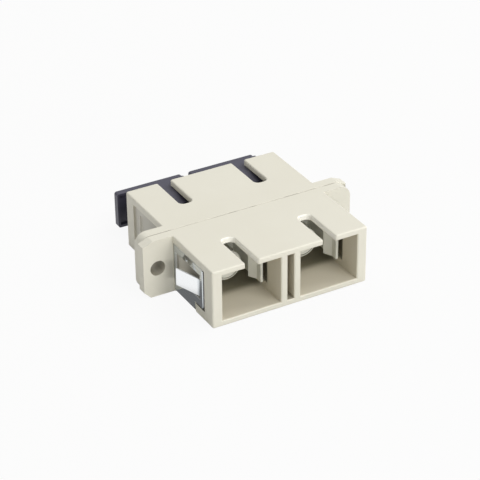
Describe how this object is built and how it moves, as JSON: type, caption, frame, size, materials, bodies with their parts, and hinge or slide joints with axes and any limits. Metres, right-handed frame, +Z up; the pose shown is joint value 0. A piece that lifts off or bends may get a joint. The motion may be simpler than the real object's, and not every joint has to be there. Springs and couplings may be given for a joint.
{
  "type": "sc duplex fibre adapter",
  "caption": "Duplex push-pull fibre adapter: two moulded halves with a two-hole flange, latch arms and sleeves in each port, a steel panel clip and two rear dust plugs.",
  "frame": {"origin": "centre of the parting plane between the two housing halves, halfway between the flange holes", "axes": "+X across the two ports, +Y from the front ports to the rear ports along the fibres, +Z up, towards the key slots"},
  "size_m": [0.035, 0.0325, 0.0092],
  "materials": {
    "housing_plastic": "moulded satin",
    "frame_plastic": "moulded satin",
    "sleeve_bronze": "polished",
    "spring_steel": "rolled",
    "plug_plastic": "satin"
  },
  "bodies": {
    "adapter": {"front_housing": "housing_plastic", "rear_housing": "housing_plastic", "left_front_latch_frame": "frame_plastic", "right_front_latch_frame": "frame_plastic", "left_rear_latch_frame": "frame_plastic", "right_rear_latch_frame": "frame_plastic", "left_alignment_sleeve": "sleeve_bronze", "right_alignment_sleeve": "sleeve_bronze", "mounting_clip": "spring_steel"},
    "left_plug": {"left_dust_plug": "plug_plastic"},
    "right_plug": {"right_dust_plug": "plug_plastic"}
  },
  "joints": [
    {"name": "left_plug_slide", "type": "slide", "parent": "adapter", "child": "left_plug", "axis": [0, 1, 0], "range_m": [0, 0.012]},
    {"name": "right_plug_slide", "type": "slide", "parent": "adapter", "child": "right_plug", "axis": [0, 1, 0], "range_m": [0, 0.012]}
  ]
}
